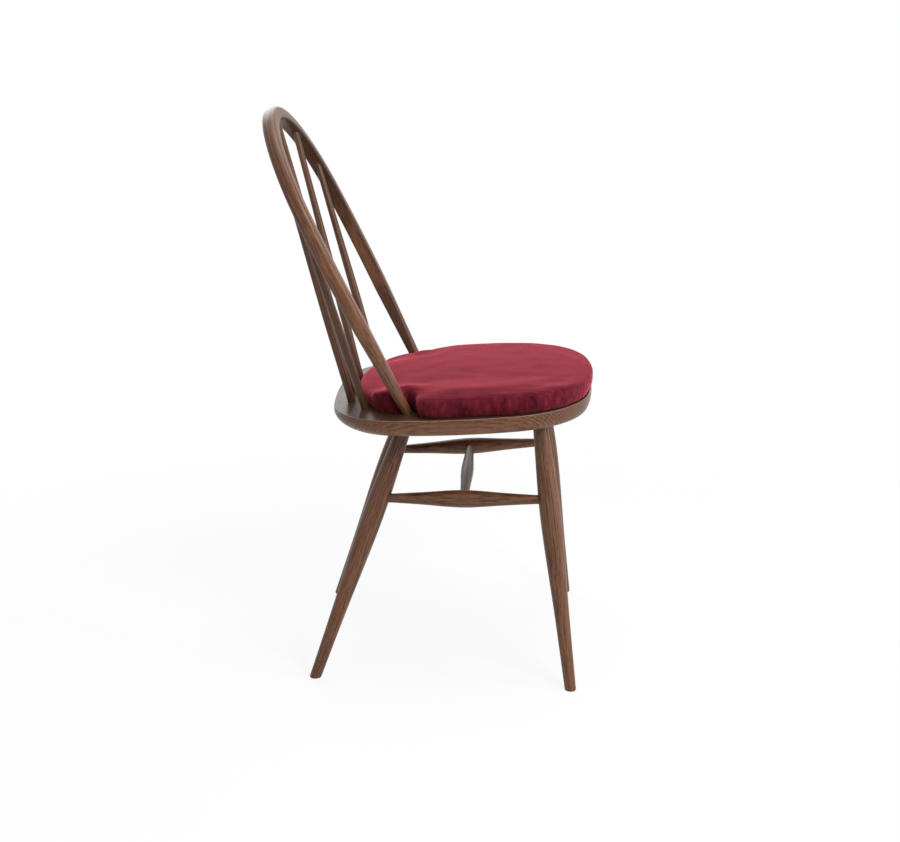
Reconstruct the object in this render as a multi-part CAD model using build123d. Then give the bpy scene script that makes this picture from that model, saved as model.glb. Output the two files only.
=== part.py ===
from build123d import *
import math
import os

os.makedirs("parts", exist_ok=True)

# A hoop-back side chair with a loose seat pad, in millimetres and degrees, +Z up.
# The chair faces -Y and stands on z = 0, and its own right-hand side is -X.

# Fits
GLUE_GAP = 0.1
PAD_GAP = 0.3

# Seat board, with its plan measured from the line where it is widest
SEAT_HEIGHT = 440.0
SEAT_TILT = 3.0
SEAT_HALF_WIDTH = 202.0
SEAT_FRONT_REACH = 236.0
SEAT_REAR_REACH = 181.0
SEAT_WIDEST_Y = -20.0
SEAT_FRONT_BOW = 34.0
SEAT_SIDE_BOW = 25.0
SEAT_REAR_BOW = 15.0
SEAT_FRONT_CORNER = 140.0
SEAT_REAR_CORNER = 125.0
SEAT_THICKNESS = 27.0
SEAT_BAND = 9.0
SEAT_UNDERCUT_FRONT = 6.0
SEAT_UNDERCUT_SIDE = 10.0
SEAT_UNDERCUT_REAR = 20.0
SEAT_ARRIS = 1.5
SEAT_EDGE_SECTIONS = 3

# Legs, from their feet on the floor to the underside of the seat
FRONT_FOOT_X = 207.5
FRONT_FOOT_Y = -226.0
FRONT_TOP_X = 135.5
FRONT_TOP_Y = -171.5
REAR_FOOT_X = 179.0
REAR_FOOT_Y = 185.5
REAR_TOP_X = 111.0
REAR_TOP_Y = 40.0
LEG_FOOT_DIAMETER = 18.0
LEG_BELLY_DIAMETER = 33.0
LEG_TOP_DIAMETER = 23.0
LEG_FOOT_ROUND = 2.0
LEG_TENON_DIAMETER = 20.0

# Stretchers, with the heights at which they cross the leg centre lines
STRETCHER_FRONT_HEIGHT = 301.0
STRETCHER_REAR_HEIGHT = 291.0
STRETCHER_END_DIAMETER = 14.5
STRETCHER_BELLY_DIAMETER = 28.0
STRETCHER_PAST_AXIS = 5.0
STRETCHER_NECK = 5.0
CROSS_END_DIAMETER = 13.5
CROSS_BELLY_DIAMETER = 21.0
CROSS_PAST_AXIS = 4.0
CROSS_NECK = 2.0
CROSS_FORWARD = 1.0

# Hoop, in its own leaning plane: a crown arc, two side arcs and two straight feet
HOOP_FOOT_Y = 34.5
HOOP_LEAN = 26.4
HOOP_CROWN_RADIUS = 176.5
HOOP_CROWN_HALF_ANGLE = 82.5
HOOP_SIDE_RADIUS = 710.0
HOOP_FOOT_ANGLE = 8.0
HOOP_FOOT_LENGTH = 151.5
HOOP_DEPTH = 22.0
HOOP_WIDTH = 22.5
HOOP_OUTER_ROUND = 8.0
HOOP_INNER_ROUND = 2.5
HOOP_TENON_DIAMETER = 16.0
HOOP_TENON_SHOW = 3.0

# Spindles, with their insets from the rear of the seat and their angles round the crown of the hoop
SPINDLE_OUTER_X = 116.0
SPINDLE_OUTER_INSET = 57.0
SPINDLE_OUTER_ANGLE = 62.8
SPINDLE_INNER_X = 72.0
SPINDLE_INNER_INSET = 31.0
SPINDLE_INNER_ANGLE = 36.1
SPINDLE_CENTRE_INSET = 29.0
SPINDLE_FOOT_DIAMETER = 12.0
SPINDLE_SWELL_DIAMETER = 13.8
SPINDLE_TOP_DIAMETER = 10.2
SPINDLE_SWELL_HEIGHT = 130.0
SPINDLE_SEAT_DEPTH = 16.0
SPINDLE_PAST_AXIS = 2.0
SPINDLE_TOP_FORWARD = 3.0

# Wedges that spread the through tenons
WEDGE_HEAD = 3.0
WEDGE_TIP = 0.8
WEDGE_DEPTH = 17.0

# Loose pad, with its margins on the seat and its clearances round the hoop and the spindles
PAD_SIDE_MARGIN = 9.0
PAD_FRONT_MARGIN = 1.0
PAD_NOTCH_CLEAR = 8.5
PAD_NOTCH_ROUND = 22.0
PAD_NOTCH_HOLLOW = 18.0
PAD_TONGUE_CLEAR = 1.3
PAD_TONGUE_ROUND = 30.0
PAD_SPINDLE_CLEAR = 4.0
PAD_THICKNESS = 35.0
PAD_CROWN = 9.5
PAD_CROWN_Y = -95.0
PAD_TOP_ROUND = 16.0
PAD_BOTTOM_ROUND = 5.0
PAD_COVER_THICKNESS = 2.0
PAD_SEAM_HEIGHT = 4.0

tilt = math.radians(SEAT_TILT)
lean = math.radians(HOOP_LEAN)
seat_normal = (0, math.sin(tilt), math.cos(tilt))
SIDES = {"right": -1, "left": 1}


def seat_point(x, y, depth=0.0):
    """Point over the plan place (x, y), at a depth square to the top of the seat."""
    return Vector(x, y, SEAT_HEIGHT - y * math.tan(tilt) - depth / math.cos(tilt))


def seat_level(depth=0.0):
    """Plane parallel to the top of the seat, at a depth under it."""
    return Plane(origin=seat_point(0, 0, depth), x_dir=(1, 0, 0), z_dir=seat_normal)


def along(start, end):
    """Frame at the start of a turned piece, with Z running to its end."""
    return Plane(origin=start, z_dir=end - start)


def rod(frame, diameter, low, high):
    """Cylinder on the Z axis of a frame between two heights."""
    return frame * (Pos(0, 0, (low + high) / 2) * Cylinder(diameter / 2, high - low))


def turned(frame, low, high, stations):
    """Turned piece with plain ends, its tapers eased at the middle of three (height, diameter) stations."""
    start, belly, end = [Vector(diameter / 2, 0, height) for height, diameter in stations]
    swell = Spline(
        start, (start + belly) / 2, belly, (belly + end) / 2, end, tangents=[belly - start, end - belly]
    )
    ends = Polyline(end, (end.X, 0, high), (0, 0, high), (0, 0, low), (start.X, 0, low), start)
    return frame * revolve(make_face([swell, ends]), Axis.Z)


def wedge_and_kerf(frame, diameter):
    """Wedge driven down the Z axis of a frame on the end of a tenon, and the kerf it fills."""
    blades = []
    for spare in (0.0, GLUE_GAP):
        head = WEDGE_HEAD / 2 + spare
        tip = WEDGE_TIP / 2 + spare
        rise = diameter / 2
        spread = head + (head - tip) * rise / WEDGE_DEPTH
        foot = -WEDGE_DEPTH - spare
        corners = [(0, -spread, rise), (0, spread, rise), (0, tip, foot), (0, -tip, foot)]
        side = make_face(Polyline(*corners, close=True))
        blades.append(extrude(side, diameter, dir=(1, 0, 0), both=True))
    wedge = frame * (blades[0] & Cylinder(diameter / 2, 2 * (WEDGE_DEPTH + diameter)))
    return wedge, frame * blades[1]


def plan_outline(side_margin, front_margin, rear_margin):
    """Plan of the seat, drawn in by margins: four bowed edges with rounded corners."""
    side = SEAT_HALF_WIDTH - side_margin
    front = SEAT_WIDEST_Y - SEAT_FRONT_REACH + front_margin
    rear = SEAT_WIDEST_Y + SEAT_REAR_REACH - rear_margin
    corner_x = side - SEAT_SIDE_BOW
    front_y = front + SEAT_FRONT_BOW
    rear_y = rear - SEAT_REAR_BOW
    edges = [
        ThreePointArc((-corner_x, front_y), (0, front), (corner_x, front_y)),
        ThreePointArc((corner_x, front_y), (side, SEAT_WIDEST_Y), (corner_x, rear_y)),
        ThreePointArc((corner_x, rear_y), (0, rear), (-corner_x, rear_y)),
        ThreePointArc((-corner_x, rear_y), (-side, SEAT_WIDEST_Y), (-corner_x, front_y)),
    ]
    plan = make_face(edges)
    plan = fillet(plan.vertices().group_by(Axis.Y)[0], SEAT_FRONT_CORNER - front_margin)
    return fillet(plan.vertices().group_by(Axis.Y)[-1], SEAT_REAR_CORNER - rear_margin)


# Leg and stretcher centre lines
leg_axes = {}
for side, sign in SIDES.items():
    leg_axes["front_" + side] = (
        Vector(sign * FRONT_FOOT_X, FRONT_FOOT_Y, 0),
        seat_point(sign * FRONT_TOP_X, FRONT_TOP_Y, SEAT_THICKNESS),
        STRETCHER_FRONT_HEIGHT,
    )
    leg_axes["rear_" + side] = (
        Vector(sign * REAR_FOOT_X, REAR_FOOT_Y, 0),
        seat_point(sign * REAR_TOP_X, REAR_TOP_Y, SEAT_THICKNESS),
        STRETCHER_REAR_HEIGHT,
    )


def leg_joint(place):
    """Point on a leg's centre line where the stretcher meets it."""
    foot, top, height = leg_axes[place]
    return foot + (top - foot) * (height / top.Z)


side_axes = {side: (leg_joint("rear_" + side), leg_joint("front_" + side)) for side in SIDES}
cross_ends = {}
for side, (rear, front) in side_axes.items():
    cross_ends[side] = (rear + front) / 2 + (front - rear).normalized() * CROSS_FORWARD

# Hoop centre line in the (across, up) directions of its plane, from the crown down to a foot
crown_angle = math.radians(HOOP_CROWN_HALF_ANGLE)
foot_angle = math.radians(90 + HOOP_FOOT_ANGLE)
side_centre_x = (HOOP_CROWN_RADIUS - HOOP_SIDE_RADIUS) * math.sin(crown_angle)
side_fall = (HOOP_CROWN_RADIUS - HOOP_SIDE_RADIUS) * math.cos(crown_angle)
bend_end_x = side_centre_x + HOOP_SIDE_RADIUS * math.sin(foot_angle)
bend_end_y = HOOP_FOOT_LENGTH * math.sin(foot_angle)
hoop_foot_x = bend_end_x + HOOP_FOOT_LENGTH * math.cos(foot_angle)
side_centre_y = bend_end_y - HOOP_SIDE_RADIUS * math.cos(foot_angle)
crown_centre_y = side_centre_y - side_fall
hoop_frame = Plane(
    origin=seat_point(0, HOOP_FOOT_Y), x_dir=(1, 0, 0), z_dir=(0, -math.cos(lean), math.sin(lean))
)


def hoop_place(angle, x, y):
    """Cross-section frame on the hoop, X pointing outwards and Z running down to the foot."""
    outward = (math.sin(angle), math.cos(angle), 0)
    return Plane(origin=(x, y, 0), x_dir=outward, z_dir=(math.cos(angle), -math.sin(angle), 0))


def hoop_section(depth, width, outer_round, inner_round):
    """D-shaped section, rounder on the outside of the hoop than on the inside."""
    section = Rectangle(depth, width)
    section = fillet(section.vertices().group_by(Axis.X)[-1], outer_round)
    return fillet(section.vertices().group_by(Axis.X)[0], inner_round)


def spindle_axis(x, inset, angle):
    """Ends of a spindle's centre line, on the top of the seat and in the crown arc of the hoop."""
    across = HOOP_CROWN_RADIUS * math.sin(math.radians(angle))
    up = crown_centre_y + HOOP_CROWN_RADIUS * math.cos(math.radians(angle))
    top = hoop_frame.from_local_coords(Vector(across, up, SPINDLE_TOP_FORWARD))
    return seat_point(x, SEAT_WIDEST_Y + SEAT_REAR_REACH - inset), top


# Spindle centre lines from the seat to the hoop
spindle_axes = {"centre": spindle_axis(0, SPINDLE_CENTRE_INSET, 0)}
for side, sign in SIDES.items():
    spindle_axes["outer_" + side] = spindle_axis(
        sign * SPINDLE_OUTER_X, SPINDLE_OUTER_INSET, sign * SPINDLE_OUTER_ANGLE
    )
    spindle_axes["inner_" + side] = spindle_axis(
        sign * SPINDLE_INNER_X, SPINDLE_INNER_INSET, sign * SPINDLE_INNER_ANGLE
    )

nodes = {}
seat_top = seat_level()
seat_under = seat_level(SEAT_THICKNESS)
seat_holes = []

# Legs with their wedges
for place, (foot, top, stretcher_height) in leg_axes.items():
    frame = along(foot, top)
    length = (top - foot).length
    belly = length * stretcher_height / top.Z
    foot_taper = (LEG_BELLY_DIAMETER - LEG_FOOT_DIAMETER) / belly
    top_taper = (LEG_BELLY_DIAMETER - LEG_TOP_DIAMETER) / (length - belly)
    blank = turned(
        frame,
        -2 * LEG_FOOT_DIAMETER,
        length + 2 * LEG_TOP_DIAMETER,
        [
            (-LEG_FOOT_DIAMETER, LEG_FOOT_DIAMETER * (1 - foot_taper)),
            (belly, LEG_BELLY_DIAMETER),
            (length + LEG_TOP_DIAMETER, LEG_TOP_DIAMETER * (1 - top_taper)),
        ],
    )
    blank = split(blank, Plane.XY, keep=Keep.TOP)
    blank = split(blank, seat_level(SEAT_THICKNESS + GLUE_GAP), keep=Keep.BOTTOM)
    blank = fillet(blank.edges().group_by(Axis.Z)[0], LEG_FOOT_ROUND)
    tenon = rod(frame, LEG_TENON_DIAMETER, length - SEAT_THICKNESS, length + 2 * SEAT_THICKNESS)
    tenon = split(tenon, seat_top, keep=Keep.BOTTOM)
    tenon_end = foot + (top - foot) * ((length + SEAT_THICKNESS) / length)
    wedge_frame = Plane(origin=tenon_end, x_dir=(1, 0, 0), z_dir=top - foot)
    wedge, kerf = wedge_and_kerf(wedge_frame, LEG_TENON_DIAMETER)
    nodes["leg_wedge_" + place] = split(wedge, seat_top, keep=Keep.BOTTOM)
    nodes["leg_" + place] = blank + tenon - kerf
    seat_holes.append(
        rod(frame, LEG_TENON_DIAMETER + 2 * GLUE_GAP, length - SEAT_THICKNESS, length + 2 * SEAT_THICKNESS)
    )

# Side stretchers between the legs
socket_diameter = STRETCHER_END_DIAMETER + 2 * GLUE_GAP
for side, (rear, front) in side_axes.items():
    frame = along(rear, front)
    length = (front - rear).length
    exit_length = LEG_BELLY_DIAMETER / 2 + STRETCHER_NECK
    nodes["side_stretcher_" + side] = turned(
        frame,
        -STRETCHER_PAST_AXIS,
        length + STRETCHER_PAST_AXIS,
        [
            (exit_length, STRETCHER_END_DIAMETER),
            (length / 2, STRETCHER_BELLY_DIAMETER),
            (length - exit_length, STRETCHER_END_DIAMETER),
        ],
    )
    low = -STRETCHER_PAST_AXIS - GLUE_GAP
    nodes["leg_rear_" + side] -= rod(frame, socket_diameter, low, LEG_BELLY_DIAMETER)
    nodes["leg_front_" + side] -= rod(frame, socket_diameter, length - LEG_BELLY_DIAMETER, length - low)

# Cross stretcher between the side stretchers
frame = along(cross_ends["right"], cross_ends["left"])
length = (cross_ends["left"] - cross_ends["right"]).length
exit_length = STRETCHER_BELLY_DIAMETER / 2 + CROSS_NECK
nodes["cross_stretcher"] = turned(
    frame,
    -CROSS_PAST_AXIS,
    length + CROSS_PAST_AXIS,
    [
        (exit_length, CROSS_END_DIAMETER),
        (length / 2, CROSS_BELLY_DIAMETER),
        (length - exit_length, CROSS_END_DIAMETER),
    ],
)
socket_diameter = CROSS_END_DIAMETER + 2 * GLUE_GAP
low = -CROSS_PAST_AXIS - GLUE_GAP
far = length - STRETCHER_BELLY_DIAMETER
nodes["side_stretcher_right"] -= rod(frame, socket_diameter, low, STRETCHER_BELLY_DIAMETER)
nodes["side_stretcher_left"] -= rod(frame, socket_diameter, far, length - low)

# Hoop: the bent rail, then its two tapered feet and through tenons
rail_section = hoop_section(HOOP_DEPTH, HOOP_WIDTH, HOOP_OUTER_ROUND, HOOP_INNER_ROUND)
crown_end = hoop_place(
    crown_angle,
    HOOP_CROWN_RADIUS * math.sin(crown_angle),
    crown_centre_y + HOOP_CROWN_RADIUS * math.cos(crown_angle),
)
bend_end = hoop_place(foot_angle, bend_end_x, bend_end_y)
crown = revolve(
    crown_end * rail_section,
    Axis((0, crown_centre_y, 0), (0, 0, 1)),
    revolution_arc=2 * HOOP_CROWN_HALF_ANGLE,
)
bend = revolve(
    bend_end * rail_section,
    Axis((side_centre_x, side_centre_y, 0), (0, 0, 1)),
    revolution_arc=90 + HOOP_FOOT_ANGLE - HOOP_CROWN_HALF_ANGLE,
)
foot_round = HOOP_TENON_DIAMETER / 2 - GLUE_GAP
tip_section = hoop_section(HOOP_TENON_DIAMETER, HOOP_TENON_DIAMETER, foot_round, foot_round)
taper_length = HOOP_FOOT_LENGTH - HOOP_TENON_SHOW
taper = loft([bend_end * rail_section, bend_end * (Pos(0, 0, taper_length) * tip_section)])
tenon = rod(bend_end, HOOP_TENON_DIAMETER, taper_length, HOOP_FOOT_LENGTH + 2 * SEAT_THICKNESS)
half = bend + taper + tenon
hoop = hoop_frame * (crown + half + mirror(half, Plane.YZ))
hoop = split(hoop, seat_under, keep=Keep.TOP)

for side, sign in SIDES.items():
    start = hoop_frame.from_local_coords(Vector(sign * bend_end_x, bend_end_y, 0))
    foot = hoop_frame.from_local_coords(Vector(sign * hoop_foot_x, 0, 0))
    down = (foot - start).normalized()
    frame = Plane(origin=foot, x_dir=(1, 0, 0), z_dir=down)
    through = SEAT_THICKNESS / abs(down.dot(Vector(*seat_normal)))
    wedge_frame = Plane(origin=foot + down * through, x_dir=(1, 0, 0), z_dir=down)
    wedge, kerf = wedge_and_kerf(wedge_frame, HOOP_TENON_DIAMETER)
    nodes["hoop_wedge_" + side] = split(wedge, seat_under, keep=Keep.TOP)
    hoop -= kerf
    seat_holes.append(rod(frame, HOOP_TENON_DIAMETER + 2 * GLUE_GAP, -through, 2 * through))

# Spindles, socketed in the seat and in the inner face of the hoop
for place, (foot, top) in spindle_axes.items():
    frame = along(foot, top)
    length = (top - foot).length
    nodes["spindle_" + place] = turned(
        frame,
        -SPINDLE_SEAT_DEPTH,
        length + SPINDLE_PAST_AXIS,
        [
            (SPINDLE_FOOT_DIAMETER / 2, SPINDLE_FOOT_DIAMETER),
            (SPINDLE_SWELL_HEIGHT, SPINDLE_SWELL_DIAMETER),
            (length - 2 * HOOP_DEPTH, SPINDLE_TOP_DIAMETER),
        ],
    )
    seat_holes.append(
        rod(frame, SPINDLE_FOOT_DIAMETER + 2 * GLUE_GAP, -SPINDLE_SEAT_DEPTH - GLUE_GAP, SEAT_THICKNESS)
    )
    hoop -= rod(
        frame,
        SPINDLE_TOP_DIAMETER + 2 * GLUE_GAP,
        length - 2 * HOOP_DEPTH,
        length + SPINDLE_PAST_AXIS + GLUE_GAP,
    )
nodes["back_hoop"] = hoop

# Seat board: an upright band under the top arris, then an edge that curves in to the underside


def seat_section(share):
    """Plan of the seat at a share of the way from the band down to the underside."""
    curve = share**2
    plan = plan_outline(SEAT_UNDERCUT_SIDE * curve, SEAT_UNDERCUT_FRONT * curve, SEAT_UNDERCUT_REAR * curve)
    return Pos(0, 0, -SEAT_BAND - share * (SEAT_THICKNESS - SEAT_BAND)) * plan


edge_sections = [seat_section(k / (SEAT_EDGE_SECTIONS - 1)) for k in range(SEAT_EDGE_SECTIONS)]
seat = extrude(edge_sections[0], SEAT_BAND) + loft(edge_sections)
seat = fillet(seat.edges().group_by(Axis.Z)[-1], SEAT_ARRIS)
seat = seat_top * seat
for hole in seat_holes:
    seat -= hole
nodes["seat"] = seat


# Pad plan: a body in front of the hoop's feet and a tongue that runs back between them
pad_half_width = SEAT_HALF_WIDTH - PAD_SIDE_MARGIN
pad_notch_y = HOOP_FOOT_Y - HOOP_TENON_DIAMETER / 2 - PAD_NOTCH_CLEAR
tongue_half_width = hoop_foot_x - HOOP_TENON_DIAMETER / 2 - PAD_TONGUE_CLEAR

# The tongue's rear edge is an arc that passes in front of the centre and the outer spindles
outer_foot = spindle_axes["outer_left"][0]
rear_rise = spindle_axes["centre"][0].Y - outer_foot.Y
rear_radius = (outer_foot.X**2 + rear_rise**2) / (2 * rear_rise)
rear_centre_y = outer_foot.Y + rear_rise - rear_radius
rear_edge_radius = rear_radius - SPINDLE_FOOT_DIAMETER / 2 - PAD_SPINDLE_CLEAR


def pad_block(inset):
    """The pad's soft block, or a block that lies inside it by an inset."""
    notch_y = pad_notch_y - inset
    body = plan_outline(PAD_SIDE_MARGIN + inset, PAD_FRONT_MARGIN + inset, 0)
    body -= Pos(0, notch_y + SEAT_REAR_REACH) * Rectangle(2 * SEAT_HALF_WIDTH, 2 * SEAT_REAR_REACH)
    body = fillet(body.vertices().group_by(Axis.Y)[-1], PAD_NOTCH_ROUND - inset)
    half_width = tongue_half_width - inset
    tongue = Pos(0, SEAT_WIDEST_Y) * Rectangle(2 * half_width, 2 * SEAT_REAR_REACH)
    tongue &= Pos(0, rear_centre_y) * Circle(rear_edge_radius - inset)
    tongue = fillet(tongue.vertices().group_by(Axis.Y)[-1], PAD_TONGUE_ROUND - inset)
    plan = body + tongue
    for sign in SIDES.values():
        hollow = plan.vertices().sort_by_distance((sign * half_width, notch_y, 0))[0]
        plan = fillet(hollow, PAD_NOTCH_HOLLOW + inset)
    low = PAD_GAP + inset
    high = PAD_GAP + PAD_THICKNESS - inset
    crown_radius = (pad_half_width**2 + PAD_CROWN**2) / (2 * PAD_CROWN)
    dome = Pos(0, PAD_CROWN_Y, high - crown_radius) * Sphere(crown_radius)
    block = extrude(Pos(0, 0, low) * plan, 2 * PAD_THICKNESS) & dome
    block = fillet(block.edges().group_by(Axis.Z)[0], PAD_BOTTOM_ROUND - inset)
    rim = [edge for edge in block.edges() if edge.bounding_box().min.Z > low + PAD_THICKNESS / 2]
    return fillet(rim, PAD_TOP_ROUND - inset)


# Pad: a cover, its underside panel and the foam that fills them
shell = pad_block(0) - pad_block(PAD_COVER_THICKNESS)
seam = Plane.XY.offset(PAD_GAP + PAD_SEAM_HEIGHT)
nodes["pad_cover"] = seat_top * split(shell, seam, keep=Keep.TOP)
nodes["pad_base"] = seat_top * split(shell, seam, keep=Keep.BOTTOM)
nodes["pad_foam"] = seat_top * pad_block(PAD_COVER_THICKNESS + GLUE_GAP)

# The origin lies on the floor under the middle of the whole chair
box = Compound(children=[Compound(part.solids()) for part in nodes.values()]).bounding_box()
centring = Pos(0, -(box.min.Y + box.max.Y) / 2, 0)
for name, part in nodes.items():
    export_step(centring * part, f"parts/{name}.step")
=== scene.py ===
import math

import bmesh
import bpy
import numpy as np
from mathutils import Matrix, Vector


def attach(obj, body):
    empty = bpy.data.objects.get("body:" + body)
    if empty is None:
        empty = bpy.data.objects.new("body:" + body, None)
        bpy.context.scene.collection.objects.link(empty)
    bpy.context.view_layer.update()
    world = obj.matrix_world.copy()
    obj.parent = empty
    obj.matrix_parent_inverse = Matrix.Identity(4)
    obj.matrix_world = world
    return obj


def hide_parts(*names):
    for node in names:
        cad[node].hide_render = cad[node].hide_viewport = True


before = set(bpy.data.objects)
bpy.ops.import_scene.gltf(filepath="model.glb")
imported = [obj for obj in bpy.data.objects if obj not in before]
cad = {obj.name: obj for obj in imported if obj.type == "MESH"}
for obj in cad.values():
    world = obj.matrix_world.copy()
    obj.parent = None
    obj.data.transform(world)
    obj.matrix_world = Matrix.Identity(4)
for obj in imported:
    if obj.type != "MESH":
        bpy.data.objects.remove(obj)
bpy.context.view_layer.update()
scene = bpy.context.scene

# Camera: place in metres, angles in degrees, lens and sensor in millimetres
CAMERA_PLACE = (-2.5407, -0.1492, 1.1165)
CAMERA_YAW = 2.69
CAMERA_PITCH = -16.1
CAMERA_LENS = 64.02
CAMERA_SENSOR = 36.0
CAMERA_REACH = 200.0

# Lamps: place, aim, width, height and power
LAMPS = {
    "key": ((-1.6, -1.3, 1.9), (0.0, 0.0, 0.5), 0.9, 0.9, 36.0),
    "top": ((0.1, -0.3, 2.6), (0.0, 0.0, 0.4), 1.8, 1.8, 30.0),
    "front_strip": ((-0.7, -2.2, 1.0), (0.0, 0.0, 0.5), 0.4, 1.8, 14.0),
    "fill": ((1.8, 0.7, 1.6), (0.0, 0.0, 0.5), 1.2, 1.2, 12.0),
}
WHITE = (1.0, 1.0, 1.0, 1.0)
WORLD_LIGHT = 0.28
FLOOR_COLOUR = (0.9, 0.9, 0.9, 1.0)
FLOOR_SIZE = 60.0
FLOOR_NEAR = 0.5
FLOOR_FAR = 1.4
FLOOR_WHITE = 0.86

# Seat plane and hoop, in metres and degrees
SEAT_TILT = 3.0
SEAT_HEIGHT = 0.440
SEAT_MIDDLE_Y = -0.00535
SEAT_PITH = (0.03, 0.11, 0.0)
HOOP_LEAN = 26.4
HOOP_CROWN = (0.0, 0.1708, 0.7236)
HOOP_RADIUS = 0.1765
HOOP_DRAW_IN = 0.25
HOOP_PITH = 0.045
HOOP_FOOT_X = 0.1531
HOOP_FOOT_Y = 0.0291
HOOP_FOOT_ANGLE = 8.0
HOOP_FOOT_CLEAR = 0.0098

# Wood colours, linear
WOOD_DARK = (0.042, 0.0180, 0.0090, 1.0)
WOOD_MIDDLE = (0.135, 0.054, 0.025, 1.0)
WOOD_LIGHT = (0.215, 0.092, 0.044, 1.0)
WOOD_WORN = (0.300, 0.190, 0.140, 1.0)

# Wood grain: stretch along the grain, scale, detail and weight of each layer
WOOD_CLOUD = (0.12, 14.0, 2.0, 0.22)
WOOD_STREAK = (0.012, 560.0, 3.0, 0.44)
WOOD_FIBRE = (0.05, 1500.0, 3.0, 0.34)
WOOD_FLECK = (0.14, 1700.0, 1.0, 0.45)
WOOD_RINGS = (0.04, 90.0, 2.0, 0.06)

# Wood finish: ranges that its colours, wear and gloss run over, its bump, and the painted shade on the hoop's
# inner face, the spindles and the seat's top
GRAIN_ROUGHNESS = 0.6
RING_DISTORTION = 4.0
FLECK_RANGE = (0.60, 0.70)
DARK_RANGE = (0.42, 0.57)
LIGHT_RANGE = (0.50, 0.68)
RUB_RANGE = (0.35, 0.65)
RUB_SHARE = (0.1, 0.5)
GLOSS_RANGE = (0.3, 0.7)
FLECK_BUMP = -0.5
WOOD_BUMP = 0.15
WOOD_BUMP_DEPTH = 0.0003
WOOD_GLOSS = (0.30, 0.42)
WOOD_SPECULAR = 0.3
ARRIS_RADIUS = 0.0022
ARRIS_SAMPLES = 6
ARRIS_TURN = (0.99, 0.85)
SEAT_ARRIS_FROM = (0.25, 0.55)
SEAT_ARRIS_TO = (0.97, 0.80)
SEAT_TOP_FROM = (0.90, 0.99)
# Painted shade: share of dark wood painted on the hoop's inner face, on the spindles and on the seat's level
# top, and the depths inside the hoop's middle line over which its shade fades out
PAINTED_SHADE_INSIDE = 0.75
SPINDLE_PAINTED_SHADE = 0.3
PAINTED_SHADE_FROM = (-0.0105, -0.004)
SEAT_PAINTED_SHADE = 1.0
SEAT_RUB = 0.45
PITH_AWAY = 0.05
PITH_TURN = 2.4
PITH_SHIFT = 0.7

# Velvet colours, linear, and its pile
VELVET_DEEP = (0.038, 0.0028, 0.0065, 1.0)
VELVET_MIDDLE = (0.100, 0.0082, 0.017, 1.0)
VELVET_LIGHT = (0.195, 0.018, 0.034, 1.0)
VELVET_SHEEN = (1.0, 0.17, 0.22, 1.0)
VELVET_SPECULAR = 0.05
VELVET_SHEEN_SPREAD = 0.4
VELVET_SHEEN_WEIGHT = 0.9
PILE_BUMP = 0.4
PILE_BUMP_DEPTH = 0.0006
STREAK_BUMP = 0.8
VELVET_TOP_FROM = (0.35, 0.75)
VELVET_DEEP_RANGE = (0.42, 0.58)
VELVET_LIGHT_RANGE = (0.56, 0.76)
VELVET_ROUGHNESS = (0.75, 0.95)

# Velvet noises: stretch for each axis, scale, detail and roughness, and their weights in the tone
BRUSHED = ((1.0, 0.12, 1.0), 260.0, 4.0, 0.65)
CRUSHED = ((1.0, 1.0, 0.45), 120.0, 4.0, 0.6)
PATCH = ((1.0, 1.0, 1.0), 26.0, 3.0, 0.6)
PILE = ((1.0, 1.0, 1.0), 1400.0, 2.0, 0.6)
STREAK_WEIGHT = 0.60
PATCH_WEIGHT = 0.35
PILE_WEIGHT = 0.2

# Pad making, in metres
PAD_VOXEL = 0.005
PAD_PRESSURE = 4.0
PAD_FRAMES = 20
PAD_RELAX = 3
PAD_EVENING = 12
PAD_COVER = 0.0021
PAD_SWELL = 0.5
PAD_EDGE = 0.0028
PAD_FULL = {-1.0: 0.0075, 1.0: 0.0015}
PAD_FULL_FROM = (0.08, 0.17)
PAD_FULL_HEIGHT = (0.008, 0.020)
PAD_SWELL_LIMITS = (-0.0004, 0.0022)
PAD_FRONT = 0.0038
PAD_FRONT_FROM = (0.08, 0.19)
PAD_CLEAR = 0.0004
PAD_FOOT_DROP = 0.003
PAD_FOOT_REACH = 0.006
GATHER_SPACING = 0.0145
GATHER_HEIGHT = 0.013
GATHER_DEPTH = 0.0011
DIMPLE_DEPTH = 0.00025
DIMPLE_SPACING = 0.07
DIMPLE_DRIFT = 0.7

# Uneven run of the gathers: shift in radians, and how many times slower than the gathers it comes and goes
GATHER_DRIFT = ((1.4, 4.3), (0.9, 2.6))

# Cloth of the cover
CLOTH = {
    "quality": 5,
    "mass": 0.3,
    "tension_stiffness": 30.0,
    "compression_stiffness": 30.0,
    "bending_stiffness": 5.0,
}

# Fuller and flatter places of the pad: place, reach, and share of its height added or taken off
PAD_PUFFS = (
    (-0.138, 0.048, 0.035, 0.26),
    (-0.130, 0.022, 0.022, 0.10),
    (0.132, 0.026, 0.022, 0.17),
    (0.120, 0.074, 0.030, -0.20),
    (0.180, 0.000, 0.020, -0.08),
)

# Lobe of the pad behind a foot of the hoop: plan points on one side, and height
PAD_LOBE = (
    (0.108, 0.040),
    (0.136, 0.036),
    (0.154, 0.042),
    (0.151, 0.058),
    (0.140, 0.074),
    (0.127, 0.085),
    (0.112, 0.084),
)
PAD_LOBE_HEIGHT = 0.021


def make_node(tree, kind, settings=None, inputs=None):
    """New shader node with its settings, and with values or links on its inputs."""
    node = tree.nodes.new(kind)
    for key, value in (settings or {}).items():
        setattr(node, key, value)
    for key, value in (inputs or {}).items():
        if isinstance(value, bpy.types.NodeSocket):
            tree.links.new(value, node.inputs[key])
        else:
            node.inputs[key].default_value = value
    return node


def calculate(tree, operation, first, second=0.0):
    """Output of a math node on sockets or numbers."""
    return make_node(tree, "ShaderNodeMath", {"operation": operation}, {0: first, 1: second}).outputs[0]


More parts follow.
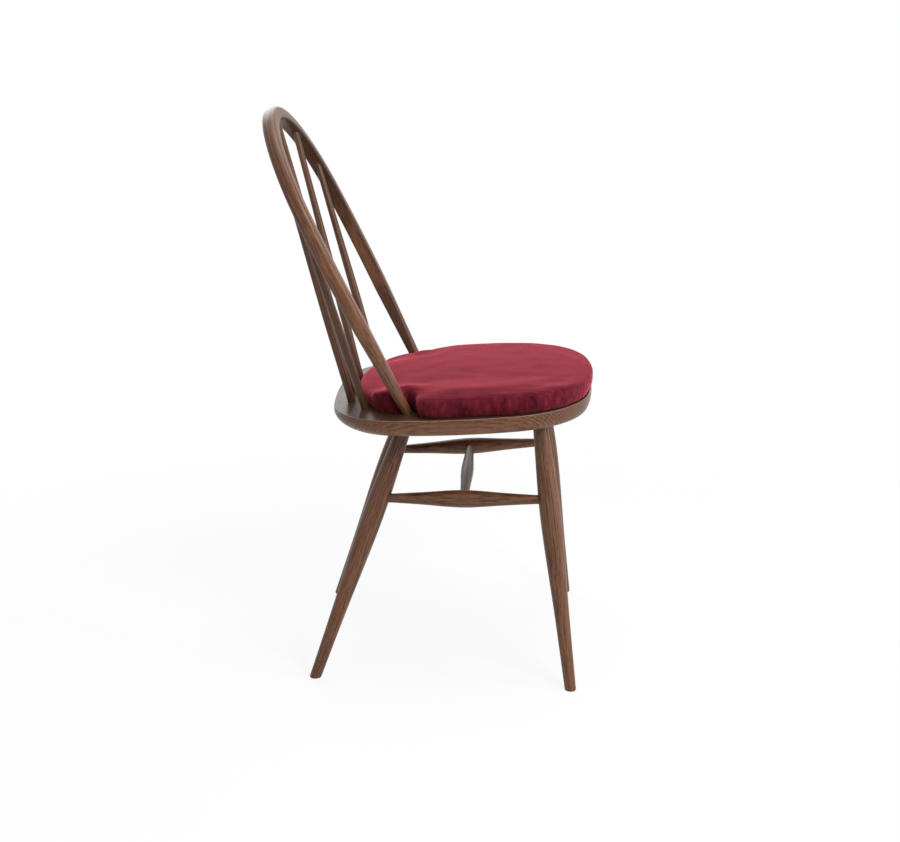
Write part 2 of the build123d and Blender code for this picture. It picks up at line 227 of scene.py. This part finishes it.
def stretched(tree, vector, scale):
    """A vector multiplied by a scale for each axis."""
    settings = {"operation": "MULTIPLY"}
    return make_node(tree, "ShaderNodeVectorMath", settings, {0: vector, 1: scale}).outputs[0]


def noise_value(tree, vector, scale, detail, roughness):
    """Output of a noise texture, about 0 to 1."""
    inputs = {"Vector": vector, "Scale": scale, "Detail": detail, "Roughness": roughness}
    return make_node(tree, "ShaderNodeTexNoise", None, inputs).outputs[0]


def span(tree, value, low, high, to_low=0.0, to_high=1.0):
    """A value mapped smoothly from one range to another."""
    inputs = {"Value": value, "From Min": low, "From Max": high, "To Min": to_low, "To Max": to_high}
    return make_node(tree, "ShaderNodeMapRange", {"interpolation_type": "SMOOTHSTEP"}, inputs).outputs[0]


def weighted_sum(tree, pairs):
    """Sum of sockets, each times its weight."""
    total = 0.0
    for value, weight in pairs:
        total = calculate(tree, "ADD", calculate(tree, "MULTIPLY", value, weight), total)
    return total


def blend_colour(tree, factor, first, second):
    """Mix of two colours or colour sockets."""
    mix = make_node(tree, "ShaderNodeMix", {"data_type": "RGBA"})
    for socket, value in ((mix.inputs[0], factor), (mix.inputs[6], first), (mix.inputs[7], second)):
        if isinstance(value, bpy.types.NodeSocket):
            tree.links.new(value, socket)
        else:
            socket.default_value = value
    return mix.outputs[2]


def new_material(name):
    """Empty material with its shader and output nodes."""
    material = bpy.data.materials.new(name)
    material.use_nodes = True
    tree = material.node_tree
    tree.nodes.clear()
    shader = make_node(tree, "ShaderNodeBsdfPrincipled")
    make_node(tree, "ShaderNodeOutputMaterial", None, {"Surface": shader.outputs[0]})
    return material, tree, shader


def edge_mask(tree, radius):
    """How sharply the surface turns within a radius, from 0 on a plain face to 1 on an arris."""
    rounded = make_node(tree, "ShaderNodeBevel", {"samples": ARRIS_SAMPLES}, {"Radius": radius}).outputs[0]
    true = make_node(tree, "ShaderNodeNewGeometry").outputs["Normal"]
    settings = {"operation": "DOT_PRODUCT"}
    along = make_node(tree, "ShaderNodeVectorMath", settings, {0: rounded, 1: true}).outputs["Value"]
    return span(tree, along, *ARRIS_TURN)


def grain_layer(tree, grain, layer):
    """Noise drawn out along the grain."""
    stretch, scale, detail = layer[:3]
    return noise_value(tree, stretched(tree, grain, (1.0, 1.0, stretch)), scale, detail, GRAIN_ROUGHNESS)


def finish_wood(tree, shader, grain, painted_shade=0.0, rub=0.0):
    """Stained and lacquered wood with its grain along the third axis, darkened in places by painted shade and
    rubbed in places.
    """
    cloud = grain_layer(tree, grain, WOOD_CLOUD)
    streak = grain_layer(tree, grain, WOOD_STREAK)
    fibre = grain_layer(tree, grain, WOOD_FIBRE)
    fleck = span(tree, grain_layer(tree, grain, WOOD_FLECK), *FLECK_RANGE)
    stretch, scale, detail = WOOD_RINGS[:3]
    inputs = {"Vector": stretched(tree, grain, (1.0, 1.0, stretch)), "Scale": scale, "Detail": detail}
    inputs["Distortion"] = RING_DISTORTION
    settings = {"wave_type": "RINGS", "rings_direction": "Z", "wave_profile": "SIN"}
    rings = make_node(tree, "ShaderNodeTexWave", settings, inputs).outputs[1]
    layers = ((cloud, WOOD_CLOUD), (streak, WOOD_STREAK), (fibre, WOOD_FIBRE), (rings, WOOD_RINGS))
    figure = weighted_sum(tree, [(value, layer[-1]) for value, layer in layers])
    deep = blend_colour(tree, span(tree, figure, *DARK_RANGE), WOOD_DARK, WOOD_MIDDLE)
    colour = blend_colour(tree, span(tree, figure, *LIGHT_RANGE), deep, WOOD_LIGHT)
    colour = blend_colour(tree, calculate(tree, "MULTIPLY", fleck, WOOD_FLECK[-1]), colour, WOOD_DARK)
    # Painted shade: the wood is drawn towards its dark colour where the shade mask is set
    colour = blend_colour(tree, painted_shade, colour, WOOD_DARK)
    rubbed = span(tree, cloud, *RUB_RANGE, *RUB_SHARE)
    wear = calculate(tree, "MULTIPLY", edge_mask(tree, ARRIS_RADIUS), rubbed)
    wear = calculate(tree, "MAXIMUM", wear, rub)
    colour = blend_colour(tree, wear, colour, WOOD_WORN)
    height = weighted_sum(tree, ((fibre, 1.0), (fleck, FLECK_BUMP)))
    inputs = {"Strength": WOOD_BUMP, "Distance": WOOD_BUMP_DEPTH, "Height": height}
    bump = make_node(tree, "ShaderNodeBump", None, inputs)
    tree.links.new(colour, shader.inputs["Base Color"])
    tree.links.new(span(tree, fibre, *GLOSS_RANGE, *WOOD_GLOSS), shader.inputs["Roughness"])
    tree.links.new(bump.outputs[0], shader.inputs["Normal"])
    shader.inputs["Specular IOR Level"].default_value = WOOD_SPECULAR


def facing_up(tree):
    """How far the surface faces up, from 1 on a level top to 0 on an upright side."""
    normal = make_node(tree, "ShaderNodeNewGeometry").outputs["Normal"]
    return make_node(tree, "ShaderNodeSeparateXYZ", None, {0: normal}).outputs[2]


def straight_wood(name, axis, place, pith, is_seat=False, painted_shade=0.0):
    """Wood for a straight piece: the grain follows its axis, and the pith lies to one side of it."""
    material, tree, shader = new_material(name)
    turn = Vector(axis).rotation_difference(Vector((0, 0, 1))).to_matrix()
    offset = Vector(pith) - turn @ Vector(place)
    coordinates = make_node(tree, "ShaderNodeTexCoord").outputs["Object"]
    inputs = {"Vector": coordinates, "Location": offset, "Rotation": turn.to_euler()}
    grain = make_node(tree, "ShaderNodeMapping", None, inputs).outputs[0]
    if is_seat:
        up = facing_up(tree)
        above_side = span(tree, up, *SEAT_ARRIS_FROM)
        arris = calculate(tree, "MULTIPLY", above_side, span(tree, up, *SEAT_ARRIS_TO, 0.0, SEAT_RUB))
        # Painted shade darkens the seat's level top; its arris is rubbed paler
        finish_wood(tree, shader, grain, span(tree, up, *SEAT_TOP_FROM, 0.0, SEAT_PAINTED_SHADE), arris)
    else:
        finish_wood(tree, shader, grain, painted_shade)
    return material


def bent_wood(name):
    """Wood for the hoop: its grain follows the crown and the arms, and painted shade darkens its inner face.
    """
    material, tree, shader = new_material(name)
    turn = Matrix.Rotation(math.radians(90 - HOOP_LEAN), 3, "X")
    coordinates = make_node(tree, "ShaderNodeTexCoord").outputs["Object"]
    inputs = {"Vector": coordinates, "Location": HOOP_CROWN, "Rotation": turn.to_euler()}
    plane = make_node(tree, "ShaderNodeMapping", {"vector_type": "TEXTURE"}, inputs).outputs[0]
    parts = make_node(tree, "ShaderNodeSeparateXYZ", None, {0: plane})
    across, up, out = parts.outputs[0], parts.outputs[1], parts.outputs[2]
    squares = calculate(tree, "ADD", calculate(tree, "POWER", across, 2.0), calculate(tree, "POWER", up, 2.0))
    crown_off = calculate(tree, "SUBTRACT", calculate(tree, "SQRT", squares), HOOP_RADIUS)
    crown_along = calculate(tree, "MULTIPLY", calculate(tree, "ARCTAN2", across, up), HOOP_RADIUS)
    side = calculate(tree, "SIGN", across)
    fall = calculate(tree, "SUBTRACT", HOOP_RADIUS * math.pi / 2, up)
    arm_along = calculate(tree, "MULTIPLY", side, fall)
    draw = calculate(tree, "MULTIPLY", calculate(tree, "POWER", up, 2.0), HOOP_DRAW_IN)
    arm_off = calculate(tree, "SUBTRACT", calculate(tree, "ABSOLUTE", across), HOOP_RADIUS)
    arm_off = calculate(tree, "ADD", arm_off, draw)
    above = calculate(tree, "GREATER_THAN", up, 0.0)
    off = make_node(tree, "ShaderNodeMix", None, {0: above, 2: arm_off, 3: crown_off}).outputs[0]
    along = make_node(tree, "ShaderNodeMix", None, {0: above, 2: arm_along, 3: crown_along}).outputs[0]
    # Painted shade on the hoop's inner face, fading out towards the middle of its section
    painted_shade = span(tree, off, *PAINTED_SHADE_FROM, PAINTED_SHADE_INSIDE, 0.0)
    off = calculate(tree, "ADD", off, HOOP_PITH)
    grain = make_node(tree, "ShaderNodeCombineXYZ", None, {0: off, 1: out, 2: along}).outputs[0]
    finish_wood(tree, shader, grain, painted_shade)
    return material


def long_axis(piece):
    """Direction and middle of a straight piece, from the spread of its points."""
    points = np.array([v.co for v in piece.data.vertices])
    middle = (points.min(0) + points.max(0)) / 2
    spread = np.linalg.svd(points - points.mean(0), full_matrices=False)[2][0]
    return spread, middle


# Wood pieces
tilt = math.radians(SEAT_TILT)
fabric_nodes = ("pad_cover", "pad_base", "pad_foam")
wood_nodes = sorted(name for name in cad if name not in fabric_nodes)
for number, name in enumerate(wood_nodes):
    piece = cad[name]
    axis, middle = long_axis(piece)
    angle = PITH_TURN * number
    pith = (PITH_AWAY * math.cos(angle), PITH_AWAY * math.sin(angle), PITH_SHIFT * number)
    if name == "back_hoop":
        material = bent_wood("wood_" + name)
    elif name == "seat":
        material = straight_wood("wood_" + name, (0.0, 1.0, -math.tan(tilt)), middle, SEAT_PITH, True)
    elif name.startswith("spindle"):
        # Painted shade darkens every spindle evenly
        material = straight_wood("wood_" + name, axis, middle, pith, painted_shade=SPINDLE_PAINTED_SHADE)
    else:
        material = straight_wood("wood_" + name, axis, middle, pith)
    piece.data.materials.clear()
    piece.data.materials.append(material)


def velvet():
    """Short pile: deep seen square on, paler along the lie of the pile, with rubbed patches."""
    material, tree, shader = new_material("velvet")
    coordinates = make_node(tree, "ShaderNodeTexCoord").outputs["Object"]
    noises = []
    for stretch, scale, detail, roughness in (BRUSHED, CRUSHED, PATCH, PILE):
        noises.append(noise_value(tree, stretched(tree, coordinates, stretch), scale, detail, roughness))
    brushed, crushed, patch, pile = noises
    on_top = span(tree, facing_up(tree), *VELVET_TOP_FROM)
    streak = make_node(tree, "ShaderNodeMix", None, {0: on_top, 2: crushed, 3: brushed}).outputs[0]
    tone = weighted_sum(tree, ((streak, STREAK_WEIGHT), (patch, PATCH_WEIGHT), (pile, PILE_WEIGHT)))
    colour = blend_colour(tree, span(tree, tone, *VELVET_DEEP_RANGE), VELVET_DEEP, VELVET_MIDDLE)
    colour = blend_colour(tree, span(tree, tone, *VELVET_LIGHT_RANGE), colour, VELVET_LIGHT)
    height = weighted_sum(tree, ((pile, 1.0), (streak, STREAK_BUMP)))
    inputs = {"Strength": PILE_BUMP, "Distance": PILE_BUMP_DEPTH, "Height": height}
    bump = make_node(tree, "ShaderNodeBump", None, inputs)
    tree.links.new(colour, shader.inputs["Base Color"])
    tree.links.new(bump.outputs[0], shader.inputs["Normal"])
    tree.links.new(span(tree, pile, *GLOSS_RANGE, *VELVET_ROUGHNESS), shader.inputs["Roughness"])
    shader.inputs["Specular IOR Level"].default_value = VELVET_SPECULAR
    shader.inputs["Sheen Weight"].default_value = VELVET_SHEEN_WEIGHT
    shader.inputs["Sheen Roughness"].default_value = VELVET_SHEEN_SPREAD
    shader.inputs["Sheen Tint"].default_value = VELVET_SHEEN
    return material


def apply_modifiers(piece):
    """Replaces a piece's mesh by its mesh with the modifiers applied."""
    graph = bpy.context.evaluated_depsgraph_get()
    done = bpy.data.meshes.new_from_object(piece.evaluated_get(graph))
    piece.modifiers.clear()
    piece.data = done


def read_points(piece, kind):
    """Places or normals of a piece's points as an array."""
    flat = np.zeros(len(piece.data.vertices) * 3)
    piece.data.vertices.foreach_get(kind, flat)
    return flat.reshape(-1, 3)


def set_points(piece, points):
    """Puts an array of points back on a piece."""
    piece.data.vertices.foreach_set("co", points.ravel())
    piece.data.update()


# Seat frame: heights are taken square to the top of the seat
seat_up = np.array((0.0, math.sin(tilt), math.cos(tilt)))
seat_origin = np.array((0.0, SEAT_MIDDLE_Y, SEAT_HEIGHT))


def heights(points):
    """Height of each point over the top of the seat."""
    return (points - seat_origin) @ seat_up


def evened(piece, values):
    """A value at each point, evened out over its neighbours."""
    ends = np.zeros(len(piece.data.edges) * 2, dtype=int)
    piece.data.edges.foreach_get("vertices", ends)
    first, second = ends.reshape(-1, 2).T
    for step in range(PAD_EVENING):
        total = values.copy()
        count = np.ones(len(values))
        for here, there in ((first, second), (second, first)):
            np.add.at(total, here, values[there])
            np.add.at(count, here, 1.0)
        values = total / count
    return values


def swell(piece):
    """How far each point stands out when the pad is filled like a cushion, with its underside held."""
    start = read_points(piece, "co")
    normals = read_points(piece, "normal")
    group = piece.vertex_groups.new(name="held")
    group.add(np.nonzero(heights(start) < PAD_VOXEL)[0].tolist(), 1.0, "REPLACE")
    cloth = piece.modifiers.new("fill", "CLOTH")
    for key, value in CLOTH.items():
        setattr(cloth.settings, key, value)
    cloth.settings.use_pressure = True
    cloth.settings.uniform_pressure_force = PAD_PRESSURE
    cloth.settings.vertex_group_mass = "held"
    cloth.settings.effector_weights.gravity = 0.0
    cloth.collision_settings.use_collision = False
    for number in range(1, PAD_FRAMES + 1):
        scene.frame_set(number)
    apply_modifiers(piece)
    scene.frame_set(1)
    rise = ((read_points(piece, "co") - start) * normals).sum(axis=1)
    set_points(piece, start)
    rise = evened(piece, rise)
    rise = PAD_SWELL * (rise - np.median(rise))
    return np.clip(rise, *PAD_SWELL_LIMITS)


def gathers(points, normals):
    """Depth of the small upright gathers where the cover is drawn under at the foot of its sides."""
    upright = 1.0 - np.abs(normals @ seat_up)
    low = np.clip(1.0 - heights(points) / GATHER_HEIGHT, 0.0, 1.0)
    facing_side = np.abs(normals[:, 0]) > np.abs(normals[:, 1])
    run = np.where(facing_side, points[:, 1], points[:, 0]) * 2 * math.pi / GATHER_SPACING
    phase = run
    for shift, slower in GATHER_DRIFT:
        phase = phase + shift * np.sin(run / slower)
    return GATHER_DEPTH * low * upright * (1.0 + np.sin(phase))


def dimples(points):
    """Shallow unevenness of the filling, drawn out fore and aft."""
    across = points[:, 0] * 2 * math.pi / DIMPLE_SPACING
    along = points[:, 1] * math.pi / DIMPLE_SPACING
    return DIMPLE_DEPTH * np.sin(across + np.sin(along)) * np.cos(along + DIMPLE_DRIFT * np.sin(across / 2))


def keep_clear(points):
    """Moves points of the pad out of the way of the hoop's two feet."""
    lean = math.radians(HOOP_LEAN)
    angle = math.radians(HOOP_FOOT_ANGLE)
    rise = -(HOOP_FOOT_Y - SEAT_MIDDLE_Y) * math.tan(tilt)
    for side in (-1.0, 1.0):
        foot = np.array((side * HOOP_FOOT_X, HOOP_FOOT_Y, SEAT_HEIGHT + rise))
        up = math.cos(angle)
        axis = np.array((side * math.sin(angle), up * math.sin(lean), up * math.cos(lean)))
        off = points - foot
        off -= np.outer(off @ axis, axis)
        distance = np.linalg.norm(off, axis=1, keepdims=True)
        points = points + off * np.maximum(HOOP_FOOT_CLEAR / distance - 1.0, 0.0)
    return points


def smooth_step(values, low, high):
    """0 below a range, 1 above it, and smooth between."""
    share = np.clip((values - low) / (high - low), 0.0, 1.0)
    return share * share * (3.0 - 2.0 * share)


def add_lobes(mesh):
    """Adds the two soft lobes that close behind the hoop's feet."""
    form = bmesh.new()
    form.from_mesh(mesh)
    for side in (-1.0, 1.0):
        corners = []
        for x, y in PAD_LOBE:
            floor_z = SEAT_HEIGHT - (y - SEAT_MIDDLE_Y) * math.tan(tilt)
            for height in (PAD_COVER, PAD_LOBE_HEIGHT):
                corners.append(form.verts.new((side * x, y, floor_z + height)))
        bmesh.ops.convex_hull(form, input=corners)
    form.to_mesh(mesh)
    form.free()


# Pad
pad = bpy.data.objects.new("seat_pad", cad["pad_foam"].data.copy())
scene.collection.objects.link(pad)
pad.data.materials.clear()
add_lobes(pad.data)
remesh = pad.modifiers.new("even", "REMESH")
remesh.mode = "VOXEL"
remesh.voxel_size = PAD_VOXEL
relax = pad.modifiers.new("relax", "SMOOTH")
relax.iterations = PAD_RELAX
apply_modifiers(pad)
stand_out = np.full(len(pad.data.vertices), PAD_COVER)
stand_out += swell(pad)
points = read_points(pad, "co")
normals = read_points(pad, "normal")
slope = np.clip(normals @ seat_up, 0.0, 1.0)
stand_out += PAD_EDGE * 4.0 * slope * (1.0 - slope)
points += stand_out[:, None] * normals
level = normals - np.outer(normals @ seat_up, seat_up)
points += (PAD_FRONT * smooth_step(-points[:, 1], *PAD_FRONT_FROM))[:, None] * level
upper = smooth_step(heights(points), *PAD_FULL_HEIGHT)
for side, rise in PAD_FULL.items():
    points += np.outer(rise * upper * smooth_step(side * points[:, 0], *PAD_FULL_FROM), seat_up)
for across, along, reach, share in PAD_PUFFS:
    away = np.hypot(points[:, 0] - across, points[:, 1] - along) / reach
    points += np.outer(heights(points) * share * np.exp(-(away**2)), seat_up)
set_points(pad, points)
smooth = pad.modifiers.new("round", "SUBSURF")
smooth.levels = 1
smooth.render_levels = 1
apply_modifiers(pad)
points = read_points(pad, "co")
normals = read_points(pad, "normal")
points += (dimples(points) - gathers(points, normals))[:, None] * normals
points = keep_clear(points)
over = heights(points)
settled = over - PAD_FOOT_DROP * np.exp(-((over / PAD_FOOT_REACH) ** 2))
points += np.outer(np.maximum(settled, PAD_CLEAR) - over, seat_up)
set_points(pad, points)
pad.data.materials.append(velvet())
for face in pad.data.polygons:
    face.use_smooth = True
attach(pad, "pad")
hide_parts("pad_cover", "pad_base", "pad_foam")


def background_seen(tree):
    """1 for rays that show the background: straight to the camera, mirrored or through glass."""
    paths = make_node(tree, "ShaderNodeLightPath").outputs
    seen = calculate(tree, "MAXIMUM", paths["Is Camera Ray"], paths["Is Glossy Ray"])
    return calculate(tree, "MAXIMUM", seen, paths["Is Transmission Ray"])


# Floor: pale and matt near the chair, where it takes the shadow, and white further away
half = FLOOR_SIZE / 2
corners = [(-half, -half, 0), (half, -half, 0), (half, half, 0), (-half, half, 0)]
floor_mesh = bpy.data.meshes.new("floor")
floor_mesh.from_pydata(corners, [], [(0, 1, 2, 3)])
floor = bpy.data.objects.new("floor", floor_mesh)
scene.collection.objects.link(floor)
material = bpy.data.materials.new("floor")
material.use_nodes = True
tree = material.node_tree
tree.nodes.clear()
matt = make_node(tree, "ShaderNodeBsdfDiffuse", None, {"Color": FLOOR_COLOUR})
white = make_node(tree, "ShaderNodeEmission", None, {"Color": WHITE, "Strength": 1.0})
place = make_node(tree, "ShaderNodeTexCoord").outputs["Object"]
away = make_node(tree, "ShaderNodeVectorMath", {"operation": "LENGTH"}, {0: place}).outputs["Value"]
whiteness = span(tree, away, FLOOR_NEAR, FLOOR_FAR, FLOOR_WHITE, 1.0)
factor = calculate(tree, "MULTIPLY", background_seen(tree), whiteness)
mix = make_node(tree, "ShaderNodeMixShader", None, {0: factor, 1: matt.outputs[0], 2: white.outputs[0]})
make_node(tree, "ShaderNodeOutputMaterial", None, {"Surface": mix.outputs[0]})
floor_mesh.materials.append(material)

# World: white to the camera, softer as a light
world = bpy.data.worlds.new("studio")
scene.world = world
world.use_nodes = True
tree = world.node_tree
tree.nodes.clear()
strength = span(tree, background_seen(tree), 0.0, 1.0, WORLD_LIGHT, 1.0)
back = make_node(tree, "ShaderNodeBackground", None, {"Color": WHITE, "Strength": strength})
make_node(tree, "ShaderNodeOutputWorld", None, {"Surface": back.outputs[0]})

# Lamps
for name, (place, aim, width, height, power) in LAMPS.items():
    lamp = bpy.data.lights.new(name, "AREA")
    lamp.shape = "RECTANGLE"
    lamp.size = width
    lamp.size_y = height
    lamp.energy = power
    holder = bpy.data.objects.new(name, lamp)
    holder.location = place
    holder.rotation_euler = (Vector(aim) - Vector(place)).to_track_quat("-Z", "Y").to_euler()
    scene.collection.objects.link(holder)

# Camera
camera = bpy.data.cameras.new("camera")
camera.lens = CAMERA_LENS
camera.sensor_width = CAMERA_SENSOR
camera.sensor_fit = "HORIZONTAL"
camera.clip_end = CAMERA_REACH
holder = bpy.data.objects.new("camera", camera)
yaw = math.radians(CAMERA_YAW)
pitch = math.radians(CAMERA_PITCH)
look = Vector((math.cos(pitch) * math.cos(yaw), math.cos(pitch) * math.sin(yaw), math.sin(pitch)))
holder.location = CAMERA_PLACE
holder.rotation_euler = look.to_track_quat("-Z", "Y").to_euler()
scene.collection.objects.link(holder)
scene.camera = holder
scene.view_settings.view_transform = "Standard"
